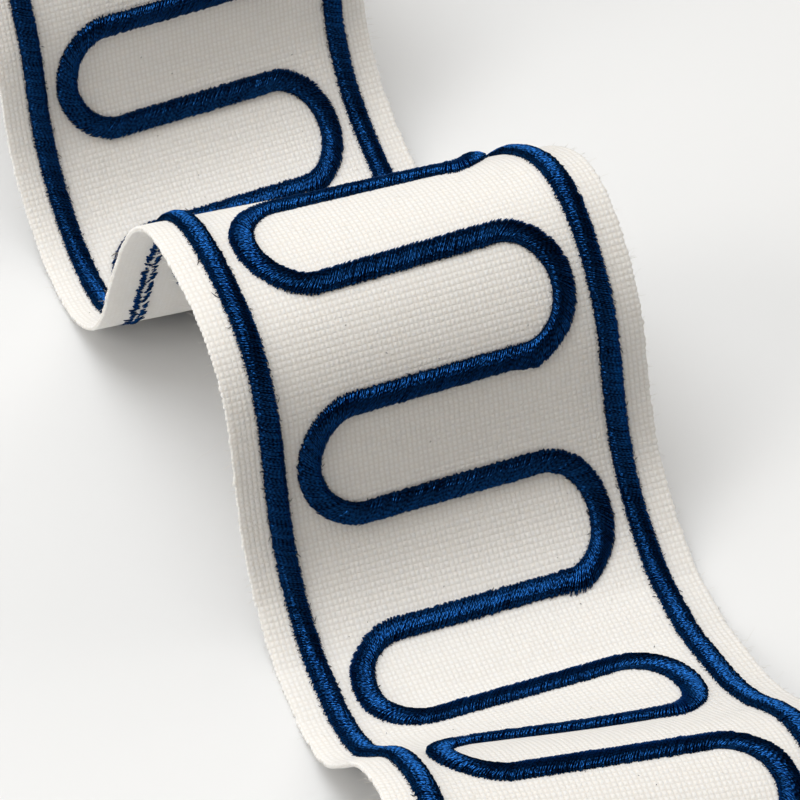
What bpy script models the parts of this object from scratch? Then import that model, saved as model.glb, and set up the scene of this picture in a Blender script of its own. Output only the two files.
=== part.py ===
"""Cut length of embroidered trim tape that stands in waves by its own stiffness.

The tape runs towards -Y and is wide along X. Its origin is the middle of its outline on the surface
that it rests on. Everything is first drawn on the tape lying flat, as a distance across it, a place
along it and a lift above its face, and is then laid onto the waves.
"""

import bpy
import bmesh
import numpy as np
from collections import namedtuple
from mathutils import Matrix

# Driving dimensions, in metres
MM = 0.001
TAPE_WIDTH = 90 * MM
TAPE_THICKNESS = 1.2 * MM
RUN_SPACING = 26 * MM
BORDER_INSET = 8.3 * MM
MEANDER_INSET = 15.7 * MM
BEND_REACH = 11 * MM
SATIN_WIDTH = 5 * MM
SATIN_HEIGHT = 1.5 * MM
SATIN_CLEARANCE = 0.3 * MM
PRESSED_DEPTH = 0.8 * MM

# Numbers of runs of the meander, and the runs that lie nearest to the two cut ends
FIRST_RUN = -6
LAST_RUN = 17
CUT_BEYOND_RUN = 0.5
RESTING_PLACES = (0, 13)

# Fineness of the solids
FINE_STEP = 0.05
TURN_PER_FACET = 9
LENGTH_PER_FACET = 10 * MM
FACETS_ACROSS = 4
FACETS_PER_BEND = 10
FACETS_OVER_SATIN = 5
SHARP_ANGLE = 40

# The waves. Place counts in runs of the meander from the run at the back of the picture. Slope is
# the fall towards -Y, turn swings the tape's cross direction about Z, and tilt raises its +X edge,
# all in degrees.
Section = namedtuple("Section", "place slope turn tilt")
WAVES = (
    # back fold, from the far cut end
    Section(-6.5, -4, 0, 0),
    Section(-5.8, -13, 0, 0),
    Section(-5.0, -48, -2, 1),
    Section(-4.2, -66, -3, 2),
    Section(-3.2, -63, -3, 1),
    Section(-2.2, -26, -2, 0),
    Section(-1.3, 24, 0, 0),
    Section(-0.5, 68, 3, -1),
    Section(0.3, 86, 6, -2),
    Section(1.2, 55, 4, -1),
    # first valley
    Section(2.0, 21, 2, 1),
    Section(2.7, -10, 2.5, -0.5),
    Section(3.4, -36, 2, -4.5),
    # tall fold
    Section(4.2, -71, 0.5, -7.5),
    Section(5.0, -65, 2, -8),
    Section(5.8, -33, 2, -6),
    Section(6.6, -1.5, 2, -1.5),
    Section(7.4, 43, 3.5, -2.5),
    Section(8.2, 78, 2, -1.5),
    Section(9.0, 71, 0, 0),
    Section(9.8, 30.5, -2, 1),
    # second valley
    Section(10.6, -7.5, -1, -0.5),
    Section(11.2, -24, 0, -2.5),
    # low front fold, down to the near cut end
    Section(11.7, -36, -2.5, -6),
    Section(12.2, -41.5, -5, -7.5),
    Section(12.8, -27.5, -5, -7),
    Section(13.5, 7, -5, -6),
    Section(14.6, 50, -5, -4),
    Section(15.5, 36, -4, -1),
    Section(16.3, 10, -3, 0),
    Section(17.5, 2, -3, 0),
)

# Colours of the cloth and of the satin stitch
CLOTH_COLOUR = (0.80, 0.78, 0.74, 1)
CLOTH_ROUGHNESS = 0.9
SATIN_COLOUR = (0.008, 0.03, 0.13, 1)
SATIN_ROUGHNESS = 0.42


def between_sections(column, places):
    """Smooth value of one column of the waves at each place."""
    rows = np.array(WAVES, float)
    at, value = rows[:, 0], rows[:, Section._fields.index(column)]
    rate = np.gradient(value, at)
    i = np.clip(np.searchsorted(at, places, side="right") - 1, 0, len(at) - 2)
    span = at[i + 1] - at[i]
    t = (places - at[i]) / span
    ease_out, ease_in = (1 + 2 * t) * (1 - t) ** 2, t ** 2 * (3 - 2 * t)
    leave, arrive = span * t * (1 - t) ** 2, span * t ** 2 * (t - 1)
    return value[i] * ease_out + value[i + 1] * ease_in + rate[i] * leave + rate[i + 1] * arrive


def facet_places():
    """Places of the facet lines across the tape, closer together where it bends more."""
    start, end = FIRST_RUN - CUT_BEYOND_RUN, LAST_RUN + CUT_BEYOND_RUN
    fine = np.linspace(start, end, round((end - start) / FINE_STEP) + 1)
    bending = np.abs(np.diff(between_sections("slope", fine))) / TURN_PER_FACET
    length = np.diff(fine) * RUN_SPACING / LENGTH_PER_FACET
    measure = np.concatenate(([0], np.cumsum(bending + length)))
    even = np.linspace(0, measure[-1], int(np.ceil(measure[-1])) + 1)
    return fine, np.interp(even, measure, fine)


class WavyTape:
    """The tape's face as it lies, with a way to lay flat points onto it."""

    def __init__(self):
        fine, self.places = facet_places()
        slope, turn, tilt = (np.radians(between_sections(c, fine)) for c in ("slope", "turn", "tilt"))
        across = np.column_stack((np.cos(turn) * np.cos(tilt), np.sin(turn) * np.cos(tilt), np.sin(tilt)))
        along = np.column_stack((np.sin(turn) * np.cos(slope), -np.cos(turn) * np.cos(slope), -np.sin(slope)))
        along -= np.sum(along * across, axis=1, keepdims=True) * across
        along /= np.linalg.norm(along, axis=1, keepdims=True)
        steps = np.diff(fine)[:, None] * RUN_SPACING * (along[1:] + along[:-1]) / 2
        centre = np.vstack((np.zeros(3), np.cumsum(steps, axis=0)))
        centre, across, along = (self.at_facets(fine, rows) for rows in (centre, across, along))
        self.normal = np.cross(along, across)
        self.normal /= np.linalg.norm(self.normal, axis=1, keepdims=True)
        self.offsets = np.linspace(-TAPE_WIDTH / 2, TAPE_WIDTH / 2, FACETS_ACROSS + 1)
        face = centre[:, None] + self.offsets[None, :, None] * across[:, None]
        self.underside = face - TAPE_THICKNESS * self.normal[:, None]
        self.press_down()

    def at_facets(self, fine, rows):
        """Rows of three coordinates read at the facet lines."""
        return np.column_stack([np.interp(self.places, fine, rows[:, k]) for k in range(3)])

    def press_down(self):
        """Set the valleys on the surface and press the lowest stretches flat on it."""
        first, last = RESTING_PLACES
        valleys = self.underside[(self.places > first) & (self.places < last), :, 2]
        self.underside[..., 2] -= valleys.min() + PRESSED_DEPTH
        self.underside[..., 2] = np.maximum(self.underside[..., 2], 0)

    def lay(self, offset, place, lift):
        """Point at a distance across the tape and a place along it, lifted off its underside."""
        i = int(np.clip(np.searchsorted(self.places, place, side="right") - 1, 0, len(self.places) - 2))
        j = int(np.clip(np.searchsorted(self.offsets, offset, side="right") - 1, 0, FACETS_ACROSS - 1))
        s = (place - self.places[i]) / (self.places[i + 1] - self.places[i])
        t = (offset - self.offsets[j]) / (self.offsets[j + 1] - self.offsets[j])
        near = self.underside[i, j] * (1 - t) + self.underside[i, j + 1] * t
        far = self.underside[i + 1, j] * (1 - t) + self.underside[i + 1, j + 1] * t
        normal = self.normal[i] * (1 - s) + self.normal[i + 1] * s
        return near * (1 - s) + far * s + lift * normal / np.linalg.norm(normal)


def clear_scene():
    """Remove whatever objects are there."""
    for old in list(bpy.data.objects):
        bpy.data.objects.remove(old)


def material(name, colour, roughness):
    """A plain Principled material."""
    made = bpy.data.materials.new(name)
    made.use_nodes = True
    surface = made.node_tree.nodes["Principled BSDF"]
    surface.inputs["Base Color"].default_value = colour
    surface.inputs["Roughness"].default_value = roughness
    surface.inputs["Metallic"].default_value = 0
    return made


def loft(name, rings, caps, look):
    """One closed body through rings of points, with each end filled by the faces that caps lists."""
    form = bmesh.new()
    loops = [[form.verts.new(point) for point in ring] for ring in rings]
    for this, following in zip(loops, loops[1:]):
        for k in range(len(this)):
            form.faces.new((this[k - 1], this[k], following[k], following[k - 1]))
    for loop in (loops[0], loops[-1]):
        for corners in caps:
            form.faces.new([loop[k] for k in corners])
    bmesh.ops.recalc_face_normals(form, faces=form.faces)
    mesh = bpy.data.meshes.new(name)
    form.to_mesh(mesh)
    form.free()
    mesh.materials.append(look)
    mesh.shade_smooth()
    mesh.set_sharp_from_angle(angle=np.radians(SHARP_ANGLE))
    piece = bpy.data.objects.new(name, mesh)
    bpy.context.collection.objects.link(piece)
    return piece


def add_tape(wavy, look):
    """The woven cloth: its face, its two selvedges and its underside."""
    rings = []
    for place in wavy.places:
        face = [wavy.lay(offset, place, TAPE_THICKNESS) for offset in wavy.offsets]
        underside = [wavy.lay(offset, place, 0) for offset in wavy.offsets]
        rings.append(face + underside[::-1])
    last = len(rings[0]) - 1
    caps = [(k, k + 1, last - k - 1, last - k) for k in range(FACETS_ACROSS)]
    return loft("tape", rings, caps, look)


def satin_section():
    """Domed section of a satin line, as pairs of a distance aside and a lift."""
    angles = np.linspace(0, np.pi, FACETS_OVER_SATIN + 1)
    dome = [(SATIN_WIDTH / 2 * np.cos(a), SATIN_HEIGHT * np.sin(a)) for a in angles]
    return dome + [(0, 0)]


def add_satin_line(name, wavy, path, look):
    """A padded satin line that follows a path drawn on the flat tape."""
    heading = np.gradient(path, axis=0)
    heading /= np.linalg.norm(heading, axis=1, keepdims=True)
    rings = []
    for (offset, length), (ahead_x, ahead_y) in zip(path, heading):
        ring = []
        for aside, lift in satin_section():
            place = (length + aside * ahead_x) / RUN_SPACING
            height = TAPE_THICKNESS + SATIN_CLEARANCE + lift
            ring.append(wavy.lay(offset - aside * ahead_y, place, height))
        rings.append(ring)
    return loft(name, rings, [range(len(rings[0]))], look)


def border_path(wavy, side):
    """A straight line beside one edge, with a point at each facet line of the tape."""
    offset = side * (TAPE_WIDTH / 2 - BORDER_INSET)
    return np.array([(offset, place * RUN_SPACING) for place in wavy.places])


def meander_path():
    """Straight runs across the tape joined by round bends, cut square at both ends of the tape."""
    run_end = TAPE_WIDTH / 2 - MEANDER_INSET - BEND_REACH
    quarter = FACETS_PER_BEND // 2
    points = []
    for run in range(FIRST_RUN - 1, LAST_RUN + 1):
        side = -1 if run % 2 == 0 else 1
        first = quarter if run < FIRST_RUN else 0
        last = quarter if run == LAST_RUN else FACETS_PER_BEND
        for k in range(first, last + 1):
            angle = np.pi * (k / FACETS_PER_BEND - 0.5)
            offset = side * (run_end + BEND_REACH * np.cos(angle))
            points.append((offset, (run + 0.5 + 0.5 * np.sin(angle)) * RUN_SPACING))
    return np.array(points)


def move_to_origin(pieces):
    """Move the pieces together, so that the origin is the bottom centre of their common box."""
    points = np.array([point.co for piece in pieces for point in piece.data.vertices])
    low, high = points.min(axis=0), points.max(axis=0)
    shift = Matrix.Translation((-(low[0] + high[0]) / 2, -(low[1] + high[1]) / 2, -low[2]))
    for piece in pieces:
        piece.data.transform(shift)


def main():
    """Build the tape and its three satin lines."""
    clear_scene()
    cloth = material("cloth", CLOTH_COLOUR, CLOTH_ROUGHNESS)
    satin = material("satin", SATIN_COLOUR, SATIN_ROUGHNESS)
    wavy = WavyTape()
    move_to_origin([
        add_tape(wavy, cloth),
        add_satin_line("border_left", wavy, border_path(wavy, -1), satin),
        add_satin_line("border_right", wavy, border_path(wavy, 1), satin),
        add_satin_line("meander", wavy, meander_path(), satin),
    ])


main()
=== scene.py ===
"""Looks of an embroidered trim tape: woven cloth, satin stitch, loose fibres, floor, light and camera.

Everything on the tape is first drawn on it lying flat, as an offset across it, a length along it and
a lift off its underside, and is then laid onto the waves in which the tape stands.
"""

from __future__ import annotations

import logging
from collections.abc import Iterable, Sequence
from dataclasses import dataclass, field
from enum import Enum
from typing import NamedTuple

import bpy
import numpy as np
from mathutils import Euler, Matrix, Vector


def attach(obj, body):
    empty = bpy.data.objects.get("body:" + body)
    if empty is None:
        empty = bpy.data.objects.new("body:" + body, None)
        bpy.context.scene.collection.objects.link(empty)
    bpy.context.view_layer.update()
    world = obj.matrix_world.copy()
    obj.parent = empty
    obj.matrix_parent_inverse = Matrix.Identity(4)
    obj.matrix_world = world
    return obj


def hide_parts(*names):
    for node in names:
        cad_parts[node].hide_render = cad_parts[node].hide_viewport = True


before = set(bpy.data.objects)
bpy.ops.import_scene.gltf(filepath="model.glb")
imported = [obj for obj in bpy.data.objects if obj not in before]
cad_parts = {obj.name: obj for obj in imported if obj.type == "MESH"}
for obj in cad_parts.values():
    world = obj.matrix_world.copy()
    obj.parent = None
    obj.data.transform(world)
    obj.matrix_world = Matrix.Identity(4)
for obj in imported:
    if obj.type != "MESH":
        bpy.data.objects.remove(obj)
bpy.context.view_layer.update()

LOG = logging.getLogger("trim_tape")
MM = 0.001


class Section(NamedTuple):
    """One row of the waves; angles in degrees, place in runs of the meander."""

    place: float
    slope: float
    turn: float
    tilt: float


class Swell(NamedTuple):
    """One soft lift or dip of the cloth; place and reach in runs, the rest in millimetres."""

    place: float
    offset: float
    reach: float
    spread: float
    rise: float


WAVES = (
    Section(-6.5, -4, 0, 0),
    Section(-5.8, -13, 0, 0),
    Section(-5.0, -48, -2, 1),
    Section(-4.2, -66, -3, 2),
    Section(-3.2, -63, -3, 1),
    Section(-2.2, -26, -2, 0),
    Section(-1.3, 24, 0, 0),
    Section(-0.5, 68, 3, -1),
    Section(0.3, 86, 6, -2),
    Section(1.2, 55, 4, -1),
    Section(2.0, 21, 2, 1),
    Section(2.7, -10, 2.5, -0.5),
    Section(3.4, -36, 2, -4.5),
    Section(4.2, -71, 0.5, -7.5),
    Section(5.0, -65, 2, -8),
    Section(5.8, -33, 2, -6),
    Section(6.6, -1.5, 2, -1.5),
    Section(7.4, 43, 3.5, -2.5),
    Section(8.2, 78, 2, -1.5),
    Section(9.0, 71, 0, 0),
    Section(9.8, 30.5, -2, 1),
    Section(10.6, -7.5, -1, -0.5),
    Section(11.2, -24, 0, -2.5),
    Section(11.7, -36, -2.5, -6),
    Section(12.2, -41.5, -5, -7.5),
    Section(12.8, -27.5, -5, -7),
    Section(13.5, 7, -5, -6),
    Section(14.6, 50, -5, -4),
    Section(15.5, 36, -4, -1),
    Section(16.3, 10, -3, 0),
    Section(17.5, 2, -3, 0),
)

SWELLS = (
    Swell(2.5, -45, 1.0, 18, 1.5),
    Swell(5.4, 12, 0.7, 16, 0.35),
    Swell(7.7, -8, 0.5, 14, -0.3),
    Swell(9.3, 22, 0.8, 12, 0.3),
    Swell(-1.2, 10, 0.9, 20, 0.4),
    Swell(12.0, 7, 0.5, 24, -0.8),
)


@dataclass(frozen=True)
class TapeSizes:
    """Driving sizes of the tape in metres.

    They are those of its solids, but the borders are sewn a little narrower, and the satin's height
    is taken from the cloth, so it holds the solids' clearance too.
    """

    width: float = 90 * MM
    thickness: float = 1.2 * MM
    run_spacing: float = 26 * MM
    first_place: float = -6.5
    last_place: float = 17.5
    far_end: tuple[float, float, float] = (-1.699 * MM, 223.095 * MM, -0.512 * MM)
    border_inset: float = 8.3 * MM
    meander_inset: float = 15.7 * MM
    bend_reach: float = 11 * MM
    satin_width: float = 5 * MM
    border_width: float = 4.5 * MM
    satin_height: float = 1.8 * MM
    fine_step: float = 0.0125

    @property
    def runs(self) -> float:
        """How many runs of the meander the tape is long."""
        return self.last_place - self.first_place

    @property
    def length(self) -> float:
        """Length of the tape laid flat."""
        return self.runs * self.run_spacing

    @property
    def ends(self) -> tuple[float, float]:
        """Flat lengths at which the tape begins and ends."""
        return self.first_place * self.run_spacing, self.last_place * self.run_spacing


class Side(Enum):
    """The two long sides of the tape."""

    LEFT = -1
    RIGHT = 1


def between_sections(column: str, places: np.ndarray) -> np.ndarray:
    """Read one column of the waves smoothly.

    Args:
        column: Name of the column.
        places: Places along the tape, in runs.

    Returns:
        The column's value at each place.
    """
    rows = np.array(WAVES, float)
    at, value = rows[:, 0], rows[:, Section._fields.index(column)]
    rate = np.gradient(value, at)
    i = np.clip(np.searchsorted(at, places, side="right") - 1, 0, len(at) - 2)
    span = at[i + 1] - at[i]
    t = (places - at[i]) / span
    ease_out, ease_in = (1 + 2 * t) * (1 - t) ** 2, t**2 * (3 - 2 * t)
    leave, arrive = span * t * (1 - t) ** 2, span * t**2 * (t - 1)
    return value[i] * ease_out + value[i + 1] * ease_in + rate[i] * leave + rate[i + 1] * arrive


def unit(rows: np.ndarray) -> np.ndarray:
    """Rows of three coordinates, each brought to length one."""
    return rows / np.linalg.norm(rows, axis=-1, keepdims=True)


class WavyTape:
    """The tape as it stands, with a way to lay flat points onto it."""

    def __init__(self, sizes: TapeSizes) -> None:
        """Work out the tape's centre line, cross direction and normal at a fine step.

        Args:
            sizes: The tape's driving sizes.
        """
        self.sizes = sizes
        count = round(sizes.runs / sizes.fine_step) + 1
        self.places = np.linspace(sizes.first_place, sizes.last_place, count)
        slope = np.radians(between_sections("slope", self.places))
        turn = np.radians(between_sections("turn", self.places))
        tilt = np.radians(between_sections("tilt", self.places))
        level, flat = np.cos(tilt), np.cos(slope)
        self.across = np.column_stack((np.cos(turn) * level, np.sin(turn) * level, np.sin(tilt)))
        along = np.column_stack((np.sin(turn) * flat, -np.cos(turn) * flat, -np.sin(slope)))
        along = unit(along - np.sum(along * self.across, axis=1, keepdims=True) * self.across)
        steps = sizes.fine_step * sizes.run_spacing * (along[1:] + along[:-1]) / 2
        self.centre = np.array(sizes.far_end) + np.vstack((np.zeros(3), np.cumsum(steps, axis=0)))
        self.normal = unit(np.cross(along, self.across))

    def swelling(self, offset: np.ndarray, place: np.ndarray) -> np.ndarray:
        """Work out how far the cloth lifts off its even waves.

        Args:
            offset: Distances across the tape from its middle.
            place: Places along the tape, in runs.

        Returns:
            The lifts in metres.
        """
        rise = np.zeros(np.broadcast(offset, place).shape)
        for row in SWELLS:
            near = ((place - row.place) / row.reach) ** 2 + ((offset / MM - row.offset) / row.spread) ** 2
            rise = rise + row.rise * MM * np.exp(-near)
        return rise

    def lay(self, offset: np.ndarray, length: np.ndarray, lift: np.ndarray) -> np.ndarray:
        """Lay flat points onto the waves.

        Args:
            offset: Distances across the tape from its middle.
            length: Distances along the tape from the first run, which may be negative.
            lift: Distances off the underside.

        Returns:
            The points, with a last axis of three coordinates.
        """
        offset, length, lift = np.broadcast_arrays(offset, length, lift)
        place = length / self.sizes.run_spacing
        centre, across, normal = (
            np.stack([np.interp(place, self.places, rows[:, k]) for k in range(3)], axis=-1)
            for rows in (self.centre, self.across, self.normal)
        )
        normal = unit(normal)
        rise = self.swelling(offset, place) - self.sizes.thickness
        underside = centre + offset[..., None] * across + rise[..., None] * normal
        underside[..., 2] = np.maximum(underside[..., 2], 0)
        return underside + lift[..., None] * normal


class Wire:
    """A node socket whose arithmetic adds Math nodes."""

    def __init__(self, board: Board, socket: bpy.types.NodeSocket) -> None:
        """Hold a socket of a board."""
        self.board = board
        self.socket = socket

    def __add__(self, other: Wire | float) -> Wire:
        """Sum of two values."""
        return self.board.maths("ADD", self, other)

    def __radd__(self, other: float) -> Wire:
        """Sum with a number on the left."""
        return self.board.maths("ADD", other, self)

    def __sub__(self, other: Wire | float) -> Wire:
        """Difference of two values."""
        return self.board.maths("SUBTRACT", self, other)

    def __rsub__(self, other: float) -> Wire:
        """Difference with a number on the left."""
        return self.board.maths("SUBTRACT", other, self)

    def __mul__(self, other: Wire | float) -> Wire:
        """Product of two values."""
        return self.board.maths("MULTIPLY", self, other)

    def __rmul__(self, other: float) -> Wire:
        """Product with a number on the left."""
        return self.board.maths("MULTIPLY", other, self)

    def __truediv__(self, other: Wire | float) -> Wire:
        """Quotient of two values."""
        return self.board.maths("DIVIDE", self, other)

    def __pow__(self, other: Wire | float) -> Wire:
        """Power of a value."""
        return self.board.maths("POWER", self, other)


class Board:
    """The node board of one material."""

    def __init__(self, name: str) -> None:
        """Start a material with its own surface shader.

        Args:
            name: Name of the material.
        """
        self.material = bpy.data.materials.new(name)
        self.material.use_nodes = True
        self.tree = self.material.node_tree
        self.surface = self.tree.nodes["Principled BSDF"]

    def put(self, socket: bpy.types.NodeSocket, value: Wire | float | Sequence[float]) -> None:
        """Link a wire to a socket, or set the socket's own value.

        Args:
            socket: The socket to feed.
            value: A wire, or the value that the socket keeps.
        """
        if isinstance(value, Wire):
            self.tree.links.new(value.socket, socket)
        else:
            socket.default_value = value

    def add(
        self,
        kind: str,
        settings: dict[str, object] | None = None,
        sockets: dict[int | str, object] | None = None,
        output: int | str = 0,
    ) -> Wire:
        """Add a node.

        Args:
            kind: The node's type.
            settings: Its settings, set before its sockets.
            sockets: Values or wires by the name or number of an input.
            output: Name or number of the output to return.

        Returns:
            The wire from that output.
        """
        node = self.tree.nodes.new(kind)
        for key, value in (settings or {}).items():
            setattr(node, key, value)
        for key, value in (sockets or {}).items():
            self.put(node.inputs[key], value)
        return Wire(self, node.outputs[output])

    def maths(self, operation: str, *values: Wire | float) -> Wire:
        """Add a Math node with these values."""
        return self.add("ShaderNodeMath", {"operation": operation}, dict(enumerate(values)))

    def noise(self, place: Wire, scale: float, detail: float, dimensions: str = "2D") -> Wire:
        """Add a Noise Texture node read at this place."""
        settings = {"noise_dimensions": dimensions}
        return self.add("ShaderNodeTexNoise", settings, {"Vector": place, "Scale": scale, "Detail": detail})

    def relief(self, height: Wire) -> Wire:
        """Add a Bump node for this height in metres."""
        return self.add("ShaderNodeBump", None, {"Strength": 1.0, "Distance": 1.0, "Height": height})

    def attribute(self, name: str) -> Wire:
        """Read one of the mesh's own attributes."""
        return self.add("ShaderNodeAttribute", {"attribute_name": name}, None, "Fac")

    def blend(self, factor: Wire, first: Wire | Sequence[float], second: Wire | Sequence[float]) -> Wire:
        """Mix two colours."""
        return self.add("ShaderNodeMix", {"data_type": "RGBA"}, {0: factor, 6: first, 7: second}, 2)

    def shine(self, **constants: float | Sequence[float]) -> None:
        """Set sockets of the surface that are the same all over, words joined by an underscore."""
        for key, value in constants.items():
            self.surface.inputs[key.replace("_", " ")].default_value = value

    def dress(self, **sockets: Wire) -> None:
        """Link wires to sockets of the surface, words joined by an underscore."""
        for key, value in sockets.items():
            self.put(self.surface.inputs[key.replace("_", " ")], value)


@dataclass(frozen=True)
class WovenFinish:
    """Plain woven cotton with a weft rib, read from the cut's own flat sizes, with painted shade in its
    hollows.
    """

    warp_pitch: float = 1.06 * MM
    weft_pitch: float = 1.28 * MM
    relief: float = 0.115 * MM
    nap: float = 0.09 * MM
    wander_scale: float = 170.0
    drift_scale: float = 520.0
    nap_scale: float = 2600.0
    column_fullness: float = 1.1
    row_fullness: float = 0.7
    underside_start: float = 89.3 * MM
    underside_end: float = 180.3 * MM
    underside_crown: float = 0.6
    thread: tuple[float, float, float, float] = (0.88, 0.868, 0.848, 1)
    # painted shade: the darker colour laid into the hollows between threads
    painted_hollow_shade: tuple[float, float, float, float] = (0.75, 0.722, 0.682, 1)
    worn: tuple[float, float, float, float] = (0.83, 0.814, 0.79, 1)
    roughness: float = 0.92

    def material(self) -> bpy.types.Material:
        """Build the cloth's material.

        Returns:
            A plain weave that wanders a little, with a fine nap, a smoother underside and painted shade in
            the hollows between its threads.
        """
        board = Board("woven_cotton")
        flat = board.add("ShaderNodeUVMap", {"uv_map": "cut"})
        wander = board.noise(flat, self.wander_scale, 2.0)
        drift = board.noise(flat, self.drift_scale, 1.0)
        nap = board.noise(flat, self.nap_scale, 3.0)
        across, along = (board.add("ShaderNodeSeparateXYZ", None, {0: flat}, axis) for axis in (0, 1))
        column = across / self.warp_pitch + (wander - 0.5) * 0.3 + (drift - 0.5) * 0.2
        row = along / self.weft_pitch + (drift - 0.5) * 0.18
        under = self.within(board, across, self.underside_start, self.underside_end)
        crown = self.crown(board, column, self.column_fullness) * self.crown(board, row, self.row_fullness)
        crown = self.underside_crown * under + crown * (1 - 0.8 * under)
        corner = {0: board.maths("FLOOR", column), 1: board.maths("FLOOR", row)}
        cell = board.add("ShaderNodeCombineXYZ", None, corner)
        chance = board.add("ShaderNodeTexWhiteNoise", {"noise_dimensions": "2D"}, {"Vector": cell})
        swell = crown * (0.8 + 0.3 * chance)
        height = swell * self.relief + nap * self.nap
        # Darker colour in the hollows between the threads' crowns is painted shade; the crowns keep the
        # thread's own colour.
        cloth = board.blend(swell ** 0.8 + (nap - 0.5) * 0.35, self.painted_hollow_shade, self.thread)
        cloth = board.blend(wander * (0.5 + 0.5 * chance) * 0.55, cloth, self.worn)
        board.dress(Base_Color=cloth, Normal=board.relief(height))
        board.shine(Roughness=self.roughness, Specular_IOR_Level=0.2, Sheen_Weight=0.2, Sheen_Roughness=0.5)
        board.shine(Subsurface_Weight=0.55, Subsurface_Radius=(1.0, 0.94, 0.86), Subsurface_Scale=1.6 * MM)
        return board.material

    @staticmethod
    def within(board: Board, value: Wire, low: float, high: float, soft: float = 1 * MM) -> Wire:
        """One between two values and zero outside them, with soft limits."""
        inside = board.maths("MINIMUM", (value - low) / soft, (high - value) / soft)
        return board.maths("MINIMUM", board.maths("MAXIMUM", inside, 0.0), 1.0)

    @staticmethod
    def crown(board: Board, turns: Wire, fullness: float) -> Wire:
        """Rounded crown of each thread, one at its middle and zero between threads."""
        wave = board.maths("ABSOLUTE", board.maths("SINE", turns * np.pi))
        return wave ** fullness


@dataclass(frozen=True)
class SatinFinish:
    """Navy embroidery thread with a silky sheen."""

    name: str = "navy_satin"
    deep: tuple[float, float, float, float] = (0.0007, 0.0032, 0.013, 1)
    bright: tuple[float, float, float, float] = (0.0085, 0.066, 0.225, 1)
    roughness: float = 0.3
    metallic: float = 0.95
    ply_relief: float = 0.045 * MM
    speckle_scale: float = 1500.0
    edge: tuple[float, float, float, float] = (0.3, 0.5, 0.9, 1)

    def material(self) -> bpy.types.Material:
        """Build the thread's material.

        Returns:
            A dark silky thread whose two plies show as lighter and darker strokes: painted glints and shade
            along the twist, with a real ply relief in the bump.
        """
        board = Board(self.name)
        tone, twist = board.attribute("tone"), board.attribute("twist")
        place = board.add("ShaderNodeTexCoord", None, None, "Object")
        speckle = board.noise(place, self.speckle_scale, 2.0, "3D")
        # The ply wave paints glints and shade into the colour along each thread; in the height it is a real
        # ply relief.
        ply = 0.5 + 0.5 * board.maths("SINE", twist * (2 * np.pi))
        tone_and_painted_glint = tone * 0.42 + ply * 0.62 + (speckle - 0.5) * 0.9
        colour = board.blend(tone_and_painted_glint, self.deep, self.bright)
        height = ply * self.ply_relief + speckle * (0.4 * self.ply_relief)
        roughness = self.roughness + (speckle - 0.5) * 0.1
        board.dress(Base_Color=colour, Roughness=roughness, Normal=board.relief(height))
        board.shine(Metallic=self.metallic, Specular_IOR_Level=0.1, Specular_Tint=self.edge)
        return board.material


@dataclass(frozen=True)
class FibreFinish:
    """Loose fibre of one plain colour, a little lighter or darker from fibre to fibre."""

    name: str
    dark: tuple[float, float, float, float]
    light: tuple[float, float, float, float]
    roughness: float = 0.8

    def material(self) -> bpy.types.Material:
        """Build the fibre's material.

        Returns:
            One plain colour for each fibre, between the dark and the light one.
        """
        board = Board(self.name)
        board.dress(Base_Color=board.blend(board.attribute("tone"), self.dark, self.light))
        board.shine(Roughness=self.roughness, Specular_IOR_Level=0.1)
        return board.material


class Heap:
    """Points and faces gathered for one mesh, with a tone and a turn of the twist for each point."""

    def __init__(self) -> None:
        """Start empty."""
        self.points: list[np.ndarray] = []
        self.tones: list[np.ndarray] = []
        self.twists: list[np.ndarray] = []
        self.faces: list[np.ndarray] = []
        self.count = 0

    def gather(
        self,
        points: np.ndarray,
        faces: Iterable[np.ndarray],
        tone: np.ndarray | float,
        twist: np.ndarray | float = 0.0,
    ) -> None:
        """Add points and the faces between them.

        Args:
            points: Rows of three coordinates.
            faces: Arrays of corner numbers, one array for each number of corners.
            tone: One value for each point.
            twist: Turns of the thread's ply at each point.
        """
        points = points.reshape(-1, 3)
        self.points.append(points)
        self.tones.append(np.broadcast_to(tone, len(points)).astype(np.float32))
        self.twists.append(np.broadcast_to(twist, len(points)).astype(np.float32))
        self.faces.extend(rows + self.count for rows in faces)
        self.count += len(points)

    def piece(self, name: str, look: bpy.types.Material, slot: str) -> bpy.types.Object:
        """Make the gathered mesh a piece that rides on the tape.

        Args:
            name: Name of the piece.
            look: Its material.
            slot: Not used.

        Returns:
            The new object, smooth shaded, with its place in its mesh.
        """
        corners = np.concatenate([rows.ravel() for rows in self.faces])
        sizes = np.concatenate([np.full(len(rows), rows.shape[1]) for rows in self.faces])
        points = np.concatenate(self.points)
        mesh = bpy.data.meshes.new(name)
        mesh.vertices.add(len(points))
        mesh.vertices.foreach_set("co", points.ravel())
        mesh.loops.add(len(corners))
        mesh.loops.foreach_set("vertex_index", corners.astype(np.int32))
        mesh.polygons.add(len(sizes))
        starts = np.concatenate(([0], np.cumsum(sizes)[:-1]))
        mesh.polygons.foreach_set("loop_start", starts.astype(np.int32))
        mesh.update(calc_edges=True)
        for kind, rows in (("tone", self.tones), ("twist", self.twists)):
            mesh.attributes.new(kind, "FLOAT", "POINT").data.foreach_set("value", np.concatenate(rows))
        mesh.materials.append(look)
        mesh.shade_smooth()
        mesh.validate()
        piece = bpy.data.objects.new(name, mesh)
        bpy.context.scene.collection.objects.link(piece)
        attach(piece, "root")
        return piece


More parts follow.
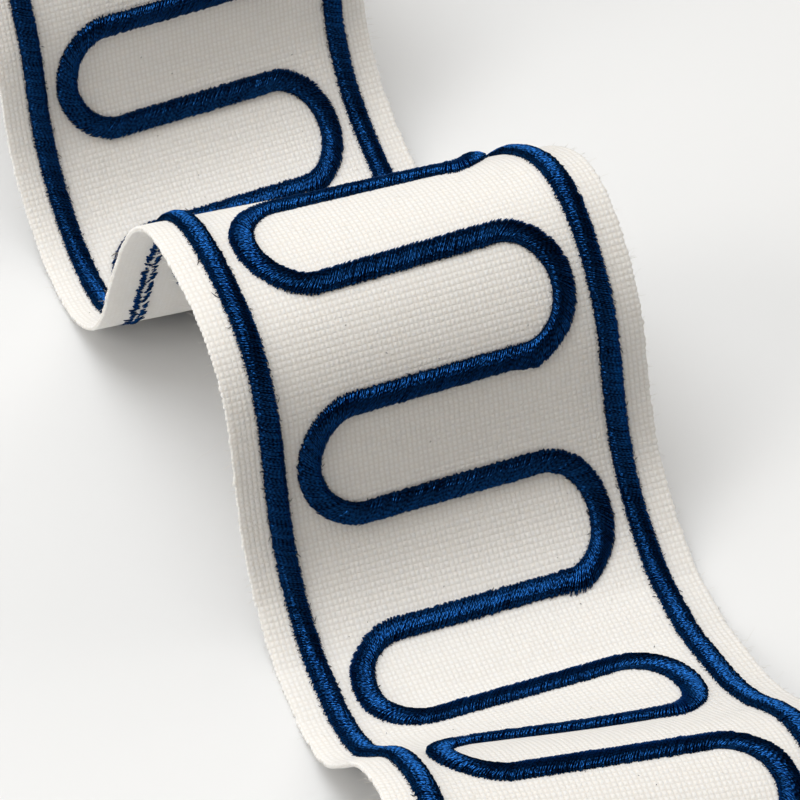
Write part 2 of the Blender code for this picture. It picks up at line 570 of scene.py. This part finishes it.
@dataclass(frozen=True)
class Strand:
    """One short length of thread or fibre, modelled once and then copied."""

    sides: int = 3
    cuts: int = 5
    tip: float = 0.5
    tip_from: float = 0.99

    def model(self) -> tuple[np.ndarray, list[np.ndarray]]:
        """Model the strand along X from -1 to 1, with a radius of one that narrows at its ends.

        Returns:
            Its points, and its faces as arrays of corner numbers.
        """
        bpy.ops.object.select_all(action="DESELECT")
        bpy.ops.mesh.primitive_cylinder_add(
            vertices=self.sides, radius=1, depth=2, end_fill_type="NGON", rotation=(0, np.pi / 2, 0)
        )
        strand = bpy.context.object
        bpy.ops.object.transform_apply(location=True, rotation=True, scale=True)
        bpy.ops.object.mode_set(mode="EDIT")
        for k in range(1, self.cuts + 1):
            bpy.ops.mesh.select_all(action="SELECT")
            at = 2 * k / (self.cuts + 1) - 1
            bpy.ops.mesh.bisect(plane_co=(at, 0, 0), plane_no=(1, 0, 0))
        bpy.ops.object.mode_set(mode="OBJECT")
        mesh = strand.data
        points = np.array([point.co for point in mesh.vertices])
        faces: dict[int, list[list[int]]] = {}
        for polygon in mesh.polygons:
            faces.setdefault(len(polygon.vertices), []).append(list(polygon.vertices))
        bpy.data.objects.remove(strand)
        narrow = np.where(np.abs(points[:, 0]) > self.tip_from, self.tip, 1)
        points[:, 1:] *= narrow[:, None]
        return points, [np.array(rows) for rows in faces.values()]


def copies(
    heap: Heap,
    points: np.ndarray,
    faces: list[np.ndarray],
    tone: np.ndarray,
    twist: np.ndarray | float = 0.0,
) -> None:
    """Gather many laid copies of one strand.

    Args:
        heap: What they are added to.
        points: Copies by points by three coordinates.
        faces: The strand's own faces.
        tone: One value for each copy.
        twist: Turns of the ply, copies by points.
    """
    count, each = points.shape[:2]
    shift = (np.arange(count) * each)[:, None, None]
    every = [(rows[None] + shift).reshape(-1, rows.shape[1]) for rows in faces]
    heap.gather(points, every, np.repeat(tone, each), np.broadcast_to(twist, (count, each)).ravel())


@dataclass
class Route:
    """A line drawn on the flat tape, with points at an even spacing."""

    points: np.ndarray

    @property
    def run(self) -> np.ndarray:
        """Distance of each point along the line."""
        steps = np.linalg.norm(np.diff(self.points, axis=0), axis=1)
        return np.concatenate(([0], np.cumsum(steps)))

    def count(self, pitch: float) -> int:
        """How many stations the line has at this spacing."""
        return int(self.run[-1] / pitch)

    def stations(self, pitch: float, shift: np.ndarray | float = 0.0) -> tuple[np.ndarray, np.ndarray]:
        """Points and headings along the line.

        Args:
            pitch: Spacing of the points.
            shift: How far each point is moved along the line.

        Returns:
            The points and the unit headings, as rows of offset and length.
        """
        run, count = self.run, self.count(pitch)
        at = np.clip((np.arange(count) + 0.5) * run[-1] / count + shift, 0, run[-1])
        heading = unit(np.gradient(self.points, axis=0))
        points, headings = (
            np.column_stack([np.interp(at, run, rows[:, k]) for k in range(2)])
            for rows in (self.points, heading)
        )
        return points, unit(headings)


@dataclass
class Embroidery:
    """The routes of the three satin lines."""

    sizes: TapeSizes
    step: float = 0.02
    bend_points: int = 61
    run_points: int = 40
    corner_turn: float = 71.0

    @property
    def run_end(self) -> float:
        """Offset at which a straight run goes over into its bend."""
        return self.sizes.width / 2 - self.sizes.meander_inset - self.sizes.bend_reach

    @property
    def run_range(self) -> tuple[int, int]:
        """Numbers of the first and the last run of the meander."""
        return round(self.sizes.first_place + 0.5), round(self.sizes.last_place - 0.5)

    def border(self, side: Side) -> Route:
        """Draw the straight line beside one edge.

        Args:
            side: The edge that it lies beside.

        Returns:
            The line's route.
        """
        offset = side.value * (self.sizes.width / 2 - self.sizes.border_inset)
        places = np.arange(self.sizes.first_place, self.sizes.last_place + self.step, self.step)
        lengths = np.clip(places, self.sizes.first_place, self.sizes.last_place) * self.sizes.run_spacing
        return Route(np.column_stack((np.full(len(lengths), offset), lengths)))

    def meander(self) -> Route:
        """Draw straight runs across the tape joined by round bends.

        Returns:
            The meander's route.
        """
        sizes, run_end = self.sizes, self.run_end
        first, last = self.run_range
        rows = []
        for run in range(first - 1, last + 1):
            side = -1 if run % 2 == 0 else 1
            begin = 0 if run < first else -np.pi / 2
            end = 0 if run == last else np.pi / 2
            angle = np.linspace(begin, end, self.bend_points)
            offset = side * (run_end + sizes.bend_reach * np.cos(angle))
            rows.append(np.column_stack((offset, (run + 0.5 + 0.5 * np.sin(angle)) * sizes.run_spacing)))
            if run < last:
                straight = np.linspace(side * run_end, -side * run_end, self.run_points + 2)[1:-1]
                length = np.full(self.run_points, (run + 1) * sizes.run_spacing)
                rows.append(np.column_stack((straight, length)))
        return Route(np.vstack(rows))

    def corners(self) -> np.ndarray:
        """Find where the right bends of the meander are sewn out to a blunt corner.

        Returns:
            Flat points, as rows of offset and length.
        """
        sizes, turn = self.sizes, np.radians(self.corner_turn)
        first, last = self.run_range
        runs = np.arange(first, last + 1)
        runs = runs[runs % 2 == 1]
        offset = sizes.width / 2 - sizes.meander_inset - sizes.bend_reach * (1 - np.cos(turn))
        length = (runs + 0.5 + 0.5 * np.sin(turn)) * sizes.run_spacing
        return np.column_stack((np.full(len(runs), offset), length))


@dataclass
class SatinLine:
    """A padded line of satin stitch: a dark core and one thread after another over it."""

    name: str
    node: str
    route: Route
    tape: WavyTape
    look: bpy.types.Material
    seed: int
    width: float
    pitch: float = 0.385 * MM
    thread: float = 0.29 * MM
    ply_turn: float = 0.68 * MM
    core_inset: float = 0.13 * MM
    core_pitch: float = 1.6 * MM
    core_points: int = 8
    core_tone: float = 0.3
    place_spread: float = 0.07 * MM
    lean_spread: float = 0.08 * MM
    reach_spread: float = 0.045
    height_spread: float = 0.03
    slant: float = 24.0
    slant_spread: float = 2.5
    corners: np.ndarray = field(default_factory=lambda: np.empty((0, 2)))
    corner_bulge: float = 0.34
    corner_spread: float = 2.8 * MM

    def build(self) -> bpy.types.Object:
        """Build the line and hide the solid that it stands for.

        Returns:
            The line as one piece.
        """
        heap = Heap()
        self.add_core(heap)
        self.add_threads(heap)
        piece = heap.piece(self.name, self.look, "satin")
        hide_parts(self.node)
        return piece

    def add_core(self, heap: Heap) -> None:
        """Add the padding that the threads cover.

        Args:
            heap: What it is added to.
        """
        sizes = self.tape.sizes
        points, heading = self.route.stations(self.core_pitch)
        points[0], points[-1] = self.route.points[0], self.route.points[-1]
        angle = np.linspace(-np.pi / 2, np.pi / 2, self.core_points)
        aside = np.tile((self.width / 2 - self.core_inset) * np.sin(angle), (len(points), 1))
        aside = aside * np.where(aside < 0, 1 + self.bulge(points)[:, None], 1)
        lift = sizes.thickness - self.core_inset + (sizes.satin_height - self.core_inset) * np.cos(angle)
        offset = points[:, :1] - aside * heading[:, 1:]
        length = points[:, 1:] + aside * heading[:, :1]
        laid = self.tape.lay(offset, length, np.broadcast_to(lift, offset.shape))
        rings, around = offset.shape
        first = (np.arange(rings - 1) * around)[:, None] + np.arange(around)[None]
        second = (np.arange(rings - 1) * around)[:, None] + (np.arange(around)[None] + 1) % around
        sides = np.stack((first, second, second + around, first + around), axis=-1).reshape(-1, 4)
        near = np.arange(around)[None, ::-1]
        heap.gather(laid, [sides, near, near[:, ::-1] + (rings - 1) * around], self.core_tone)

    def add_threads(self, heap: Heap) -> None:
        """Add the threads, each a little off its even place.

        Args:
            heap: What they are added to.
        """
        sizes, chance = self.tape.sizes, np.random.default_rng(self.seed)
        points, faces = Strand().model()
        count = self.route.count(self.pitch)
        shift = chance.normal(0, self.place_spread, count)
        centre, heading = self.route.stations(self.pitch, shift)
        reach = self.width / 2 * (1 + chance.normal(0, self.reach_spread, count))
        height = (sizes.satin_height - self.thread) * (1 + chance.normal(0, self.height_spread, count))
        slant = np.tan(np.radians(self.slant + chance.normal(0, self.slant_spread, count)))
        lean = chance.normal(0, self.lean_spread, count)
        angle = points[:, 0] * np.pi / 2
        out = self.thread * points[:, 2]
        aside = (reach[:, None] * np.sin(angle)) + out * np.sin(angle) + lean[:, None] * np.cos(angle)
        aside = aside * np.where(aside < 0, 1 + self.bulge(centre)[:, None], 1)
        lift = sizes.thickness + height[:, None] * np.cos(angle) ** 0.9 + out * np.cos(angle)
        ahead = aside * slant[:, None] + self.thread * points[:, 1] * np.sqrt(1 + slant[:, None] ** 2)
        side = np.column_stack((-heading[:, 1], heading[:, 0]))
        turned = np.column_stack((-side[:, 1], side[:, 0]))
        offset = centre[:, :1] + aside * side[:, :1] + ahead * turned[:, :1]
        length = centre[:, 1:] + aside * side[:, 1:] + ahead * turned[:, 1:]
        laid = self.tape.lay(offset, np.clip(length, *sizes.ends), lift)
        stitch = 2 * reach * np.sqrt(1 + (sizes.satin_height / reach) ** 2)
        twist = chance.uniform(0, 1, count)[:, None] + points[:, 0] / 2 * (stitch / self.ply_turn)[:, None]
        copies(heap, laid, faces, chance.uniform(0, 1, count), twist)

    def bulge(self, centre: np.ndarray) -> np.ndarray:
        """Share by which the threads reach out further near the blunt corners.

        Args:
            centre: Flat points in the middle of the line.

        Returns:
            The share at each point.
        """
        away = np.linalg.norm(centre[:, None] - self.corners[None], axis=-1)
        return self.corner_bulge * np.exp(-((away / self.corner_spread) ** 2)).sum(axis=1)


@dataclass
class WovenTape:
    """The cloth: face, underside and selvedges, with a rib for each weft thread."""

    tape: WavyTape
    look: bpy.types.Material
    weft_pitch: float = 1.28 * MM
    rib_points: int = 4
    rib_depth: float = 0.03 * MM
    underside_share: float = 0.3
    face_points: int = 12
    edge_points: int = 4
    loop_reach: float = 0.22 * MM
    loop_spread: float = 0.09 * MM
    seed: int = 11

    def section(self) -> tuple[np.ndarray, np.ndarray, np.ndarray]:
        """The cloth's cross section, once around from the left end of its face.

        Returns:
            Offsets, lifts, and how far each point belongs to an edge, from zero to one.
        """
        sizes = self.tape.sizes
        radius = sizes.thickness / 2
        flat = np.linspace(-1, 1, self.face_points) * (sizes.width / 2 - radius)
        angle = np.linspace(np.pi / 2, -np.pi / 2, self.edge_points + 2)[1:-1]
        right = sizes.width / 2 - radius + radius * np.cos(angle)
        offset = np.concatenate((flat, right, flat[::-1], -right[::-1]))
        rise = radius + radius * np.sin(angle)
        none = np.zeros(len(flat))
        lift = np.concatenate((none + 2 * radius, rise, none, rise[::-1]))
        edge = np.concatenate((none, np.cos(angle), none, np.cos(angle[::-1])))
        return offset, lift, edge

    def build(self) -> bpy.types.Object:
        """Build the cloth and hide the solid that it stands for.

        Returns:
            The cloth as one piece.
        """
        sizes, chance = self.tape.sizes, np.random.default_rng(self.seed)
        offset, lift, edge = self.section()
        wefts = round(sizes.length / self.weft_pitch)
        turns = np.linspace(0, wefts, wefts * self.rib_points + 1)
        length = sizes.ends[0] + turns / wefts * sizes.length
        crown = np.abs(np.sin(np.pi * turns)) ** 0.7
        loops = chance.normal(0, self.loop_spread, (2, wefts + 1))[:, turns.astype(int)]
        loop = np.where(offset[None] > 0, loops[1][:, None], loops[0][:, None])
        reach = edge[None] * (self.loop_reach * (crown[:, None] - 1) + loop)
        inward = self.rib_depth * (1 - crown[:, None]) * (1 - edge[None])
        lifts = lift[None] + inward * np.where(lift[None] > sizes.thickness / 2, -1, self.underside_share)
        offsets = offset[None] + reach * np.sign(offset[None])
        laid = self.tape.lay(offsets, length[:, None], lifts)
        rings, around = offsets.shape
        ring = (np.arange(rings - 1) * around)[:, None]
        here, following = np.arange(around)[None], (np.arange(around)[None] + 1) % around
        near, far = ring + here, ring + following
        sides = np.stack((near, near + around, far + around, far), axis=-1)
        first_cap = np.arange(around)[None]
        last_cap = first_cap[:, ::-1] + (rings - 1) * around
        heap = Heap()
        heap.gather(laid, [sides.reshape(-1, 4), first_cap, last_cap], 0.5)
        piece = heap.piece("woven_tape", self.look, "cloth")
        self.add_cut(piece, offset, lift, turns * self.weft_pitch)
        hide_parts("tape")
        return piece

    @staticmethod
    def add_cut(piece: bpy.types.Object, offset: np.ndarray, lift: np.ndarray, run: np.ndarray) -> None:
        """Add the flat sizes of the cut as a map, in metres.

        Args:
            piece: The cloth.
            offset: Offsets once around the cross section.
            lift: Lifts once around the cross section.
            run: Distance along the tape of each ring.
        """
        outline = np.column_stack((offset, lift))
        steps = np.linalg.norm(np.diff(np.vstack((outline, outline[:1])), axis=0), axis=1)
        girth = np.concatenate(([0], np.cumsum(steps)))
        around, rings = len(offset), len(run)
        u = np.stack((girth[:-1], girth[:-1], girth[1:], girth[1:]), axis=-1)[None]
        v = np.stack((run[:-1], run[1:], run[1:], run[:-1]), axis=-1)[:, None]
        shape = rings - 1, around, 4
        sides = np.stack((np.broadcast_to(u, shape), np.broadcast_to(v, shape)), axis=-1).reshape(-1, 2)
        caps = [
            np.column_stack((offset, lift - 0.01)),
            np.column_stack((offset, lift + run[-1]))[::-1],
        ]
        layer = piece.data.uv_layers.new(name="cut")
        layer.data.foreach_set("uv", np.concatenate((sides, *caps)).ravel())


@dataclass
class Hairs:
    """Loose fibres: each stands on the cloth at its root and curls over to its tip."""

    tape: WavyTape
    strand: Strand = field(default_factory=lambda: Strand(cuts=2, tip=0.4))
    reference: tuple[float, float, float] = (0.3, 0.5, 0.81)

    def grow(
        self,
        heap: Heap,
        root: np.ndarray,
        aim: np.ndarray,
        curl: np.ndarray,
        radius: np.ndarray,
        tone: np.ndarray,
    ) -> None:
        """Grow one fibre at each root.

        Args:
            heap: What the fibres are added to.
            root: Rows of offset, length and lift.
            aim: Rows of how far the fibre goes in each of the three.
            curl: Rows of how far its tip is bent in each of the three.
            radius: Half thickness of each fibre.
            tone: Tone of each fibre.
        """
        points, faces = self.strand.model()
        t = ((points[:, 0] + 1) / 2)[None, :, None]
        line = root[:, None] + aim[:, None] * t + curl[:, None] * t**2
        heading = unit(aim)
        side = unit(np.cross(heading, np.array(self.reference)))
        top = np.cross(side, heading)
        ring = points[None, :, 1:2] * side[:, None] + points[None, :, 2:3] * top[:, None]
        line = line + radius[:, None, None] * ring
        copies(heap, self.tape.lay(line[..., 0], line[..., 1], line[..., 2]), faces, tone)


@dataclass
class LooseFibres:
    """Frayed thread ends beside the satin lines, lint, and the nap of the cloth."""

    tape: WavyTape
    routes: list[Route]
    navy: bpy.types.Material
    white: bpy.types.Material
    end_pitch: float = 0.55 * MM
    lint: int = 110
    nap: int = 1500
    selvedge: int = 1500
    end_seed: int = 23
    nap_seed: int = 37

    def thread_ends(self) -> bpy.types.Object:
        """Build the dark thread ends along both sides of each satin line, and the lint.

        Returns:
            The thread ends and the lint as one piece.
        """
        sizes, chance, heap = self.tape.sizes, np.random.default_rng(self.end_seed), Heap()
        hairs = Hairs(self.tape, Strand(cuts=1, tip=0.4))
        for route in self.routes:
            for side in Side:
                count = route.count(self.end_pitch)
                centre, heading = route.stations(self.end_pitch, chance.uniform(-0.9, 0.9, count) * MM)
                out = side.value * np.column_stack((-heading[:, 1], heading[:, 0]))
                edge = centre + out * (sizes.satin_width / 2 - chance.uniform(0, 0.35, count) * MM)[:, None]
                length = (0.1 + chance.gamma(1.2, 0.12, count)) * MM
                stray = chance.normal(0, 0.7, count)
                flat = out * length[:, None] + heading * (length * stray)[:, None]
                rise = length * chance.uniform(-0.1, 0.5, count)
                root = np.column_stack((edge, np.full(count, sizes.thickness + 0.08 * MM)))
                aim = np.column_stack((flat, rise))
                bend = length * chance.normal(0, 0.5, count)
                curl = np.column_stack((heading * bend[:, None], -0.5 * rise))
                radius = chance.uniform(0.06, 0.12, count) * MM
                hairs.grow(heap, root, aim, curl, radius, chance.uniform(0, 1, count))
        self.add_lint(heap, hairs, chance)
        return heap.piece("thread_ends", self.navy, "satin")

    def add_lint(self, heap: Heap, hairs: Hairs, chance: np.random.Generator) -> None:
        """Add specks of dark lint on the cloth's face.

        Args:
            heap: What they are added to.
            hairs: The way to grow them.
            chance: The draws, which go on from those of the thread ends.
        """
        sizes = self.tape.sizes
        offset = chance.uniform(-0.46, 0.46, self.lint) * sizes.width
        length = (sizes.first_place + sizes.runs * chance.uniform(0.01, 0.99, self.lint)) * sizes.run_spacing
        root = np.column_stack((offset, length, np.full(self.lint, sizes.thickness + 0.03 * MM)))
        angle, long = chance.uniform(0, 2 * np.pi, self.lint), chance.uniform(0.15, 0.5, self.lint) * MM
        aim = np.column_stack((long * np.cos(angle), long * np.sin(angle), 0.05 * long))
        curl = np.column_stack((-0.3 * long * np.sin(angle), 0.3 * long * np.cos(angle), 0 * long))
        radius = chance.uniform(0.05, 0.11, self.lint) * MM
        hairs.grow(heap, root, aim, curl, radius, chance.uniform(0, 1, self.lint))

    def cloth_nap(self) -> bpy.types.Object:
        """Build the pale fibres that stand off the selvedges and the face.

        Returns:
            The fibres as one piece.
        """
        sizes, chance, heap = self.tape.sizes, np.random.default_rng(self.nap_seed), Heap()
        hairs = Hairs(self.tape)
        for side in Side:
            count = self.selvedge // 2
            offset = side.value * (sizes.width / 2 - chance.uniform(0, 0.3, count) * MM)
            length = (sizes.first_place + sizes.runs * chance.uniform(0, 1, count)) * sizes.run_spacing
            root = np.column_stack((offset, length, chance.uniform(0.3, 1.1, count) * MM))
            long = chance.gamma(2.2, 0.35, count) * MM
            stray, rise = chance.normal(0, 0.6, count), chance.normal(0.1, 0.35, count)
            aim = np.column_stack((side.value * long, long * stray, long * rise))
            curl = aim * chance.normal(0, 0.45, (count, 3))
            radius = chance.uniform(0.018, 0.035, count) * MM
            hairs.grow(heap, root, aim, curl, radius, chance.uniform(0, 1, count))
        count = self.nap
        offset = chance.uniform(-0.48, 0.48, count) * sizes.width
        length = (sizes.first_place + sizes.runs * chance.uniform(0, 1, count)) * sizes.run_spacing
        root = np.column_stack((offset, length, np.full(count, sizes.thickness - 0.05 * MM)))
        angle, long = chance.uniform(0, 2 * np.pi, count), chance.gamma(2.0, 0.4, count) * MM
        aim = np.column_stack((long * np.cos(angle), long * np.sin(angle), 0.5 * long))
        bend = long * chance.normal(0, 0.5, (3, count))
        curl = np.column_stack((bend[0], bend[2], -0.35 * long))
        radius = chance.uniform(0.016, 0.03, count) * MM
        hairs.grow(heap, root, aim, curl, radius, chance.uniform(0, 1, count))
        return heap.piece("cloth_nap", self.white, "cloth")


@dataclass
class BobbinLines:
    """The back of each satin line: two rows of thread loops pulled through the underside."""

    tape: WavyTape
    routes: list[Route]
    look: bpy.types.Material
    pitch: float = 0.5 * MM
    apart: float = 1.95 * MM
    loop: float = 0.95 * MM
    thread: float = 0.42 * MM
    arch: float = 0.2 * MM
    left_skipped: float = 0.22
    right_skipped: float = 0.08
    seed: int = 53

    def build(self) -> bpy.types.Object:
        """Build the loops of all three lines.

        Returns:
            The loops as one piece.
        """
        heap, chance = Heap(), np.random.default_rng(self.seed)
        hairs = Hairs(self.tape, Strand(cuts=1))
        for route in self.routes:
            for side in Side:
                count = route.count(self.pitch)
                centre, heading = route.stations(self.pitch, chance.normal(0, 0.12, count) * MM)
                skipped = self.right_skipped if side is Side.RIGHT else self.left_skipped
                keep = chance.uniform(0, 1, count) > skipped
                centre, heading, count = centre[keep], heading[keep], int(keep.sum())
                out = side.value * np.column_stack((-heading[:, 1], heading[:, 0]))
                middle = centre + out * (self.apart / 2 + chance.normal(0, 0.27, count) * MM)[:, None]
                slant = chance.normal(0.8, 0.6, count)[:, None]
                aim = unit(out + heading * slant) * (self.loop * chance.uniform(1.2, 2.0, count))[:, None]
                root = np.column_stack((middle - aim / 2, np.full(count, 0.0)))
                arch = np.full(count, -self.arch)
                hairs.grow(
                    heap,
                    root,
                    np.column_stack((aim, arch)),
                    np.column_stack((0 * aim, -arch)),
                    chance.uniform(0.75, 1.15, count) * self.thread,
                    chance.uniform(0, 1, count),
                )
        return heap.piece("bobbin_lines", self.look, "satin")


class FallsOn(Enum):
    """The pieces that a light falls on."""

    ALL = "all"
    MATT = "matt"
    SILKY = "silky"


@dataclass(frozen=True)
class Lamp:
    """A square soft light aimed at the middle of the tape."""

    name: str
    place: tuple[float, float, float]
    size: float
    power: float
    colour: tuple[float, float, float]
    falls_on: FallsOn = FallsOn.ALL

    def hang(self, lit: dict[FallsOn, bpy.types.Collection]) -> None:
        """Add the light to the scene.

        Args:
            lit: The pieces of each kind that a light may be limited to.
        """
        light = bpy.data.lights.new(self.name, "AREA")
        light.shape, light.size, light.energy, light.color = "SQUARE", self.size, self.power, self.colour
        lamp = bpy.data.objects.new(self.name, light)
        lamp.location = self.place
        lamp.rotation_euler = (-Vector(self.place)).to_track_quat("-Z", "Y").to_euler()
        bpy.context.scene.collection.objects.link(lamp)
        if self.falls_on in lit:
            lamp.light_linking.receiver_collection = lit[self.falls_on]


@dataclass
class Studio:
    """Plain pale floor, soft light from above and behind, and the camera."""

    floor_size: float = 6.0
    floor_drop: float = 0.2 * MM
    floor_colour: tuple[float, float, float, float] = (0.785, 0.795, 0.805, 1)
    camera_place: tuple[float, float, float] = (-0.15702, -0.50242, 0.53248)
    camera_turn: tuple[float, float, float] = (45.586, 2.105, -20.016)
    lens: float = 157.5
    sensor: float = 36.0
    lamps: tuple[Lamp, ...] = (
        Lamp("key", (-0.25, 0.25, 1.5), 1.0, 12.0, (0.965, 0.985, 1.0)),
        Lamp("silk_light", (-0.35, -0.3, 1.5), 0.5, 12.0, (0.97, 0.985, 1.0), FallsOn.SILKY),
        Lamp("silk_back", (-0.25, 1.1, 1.3), 0.8, 13.0, (0.97, 0.985, 1.0), FallsOn.SILKY),
        Lamp("left_fill", (-1.45, -0.1, 0.85), 1.3, 14.0, (1.0, 0.96, 0.905), FallsOn.MATT),
        Lamp("right_fill", (1.5, 0.2, 1.1), 1.3, 7.5, (1.0, 0.96, 0.905), FallsOn.MATT),
        Lamp("broad_fill", (0.0, 0.3, 1.9), 3.0, 24.0, (1.0, 0.96, 0.905), FallsOn.MATT),
    )
    world: tuple[float, float, float, float] = (1.0, 0.93, 0.84, 1)
    world_strength: float = 0.06

    def build(self, matt: Iterable[bpy.types.Object], silky: Iterable[bpy.types.Object]) -> None:
        """Build the floor, the lights and the camera.

        Args:
            matt: The tape's matt pieces, which the fill lights fall on.
            silky: The satin pieces, which have a small light of their own.
        """
        floor = self.add_floor()
        self.add_lights({FallsOn.MATT: [floor, *matt], FallsOn.SILKY: list(silky)})
        self.add_camera()
        bpy.context.scene.view_settings.view_transform = "Standard"

    def add_floor(self) -> bpy.types.Object:
        """Add the floor and its paper-like finish.

        Returns:
            The floor, staged so that it isn't part of the tape.
        """
        bpy.ops.object.select_all(action="DESELECT")
        bpy.ops.mesh.primitive_plane_add(size=self.floor_size, location=(0, 0, -self.floor_drop))
        floor = bpy.context.object
        floor.name = "floor"
        board = Board("floor_paper")
        board.shine(Base_Color=self.floor_colour, Roughness=0.75, Specular_IOR_Level=0.2)
        floor.data.materials.append(board.material)
        return floor

    def add_lights(self, pieces: dict[FallsOn, list[bpy.types.Object]]) -> None:
        """Add the soft lights and the room's own light.

        Args:
            pieces: The pieces of each kind that a light may be limited to.
        """
        lit = {}
        for kind, members in pieces.items():
            lit[kind] = bpy.data.collections.new(f"{kind.value}_pieces")
            for piece in members:
                lit[kind].objects.link(piece)
        for lamp in self.lamps:
            lamp.hang(lit)
        room = bpy.data.worlds.new("room")
        room.use_nodes = True
        sky = room.node_tree.nodes["Background"]
        sky.inputs["Color"].default_value = self.world
        sky.inputs["Strength"].default_value = self.world_strength
        bpy.context.scene.world = room

    def add_camera(self) -> None:
        """Add the camera at the photographed angle."""
        lens = bpy.data.cameras.new("camera")
        lens.lens, lens.sensor_width, lens.sensor_fit = self.lens, self.sensor, "HORIZONTAL"
        lens.clip_start, lens.clip_end = 0.01, 20
        camera = bpy.data.objects.new("camera", lens)
        camera.location = self.camera_place
        camera.rotation_euler = Euler([np.radians(angle) for angle in self.camera_turn])
        bpy.context.scene.collection.objects.link(camera)
        bpy.context.scene.camera = camera


def main() -> None:
    """Build the tape's pieces in order, then the studio."""
    logging.basicConfig(level=logging.INFO, format="%(message)s")
    sizes = TapeSizes()
    tape = WavyTape(sizes)
    sewing = Embroidery(sizes)
    satin = SatinFinish().material()
    navy = FibreFinish("navy_fibre", (0.002, 0.004, 0.012, 1), (0.01, 0.02, 0.06, 1)).material()
    white = FibreFinish("cotton_fibre", (0.62, 0.60, 0.56, 1), (0.86, 0.84, 0.80, 1)).material()
    left, right, meander = sewing.border(Side.LEFT), sewing.border(Side.RIGHT), sewing.meander()
    cloth = WovenTape(tape, WovenFinish().material()).build()
    lines = [
        SatinLine("satin_left", "border_left", left, tape, satin, 3, sizes.border_width).build(),
        SatinLine("satin_right", "border_right", right, tape, satin, 5, sizes.border_width).build(),
        SatinLine(
            "satin_meander",
            "meander",
            meander,
            tape,
            satin,
            7,
            sizes.satin_width,
            slant=36.0,
            corners=sewing.corners(),
        ).build(),
    ]
    back = BobbinLines(tape, [left, right, meander], satin).build()
    fibres = LooseFibres(tape, [left, right, meander], navy, white)
    loose = [fibres.thread_ends(), fibres.cloth_nap()]
    for piece in (cloth, *lines, back, *loose):
        LOG.info("%s: %d faces", piece.name, len(piece.data.polygons))
    Studio().build([cloth, *loose], [*lines, back])


if __name__ == "__main__":
    main()
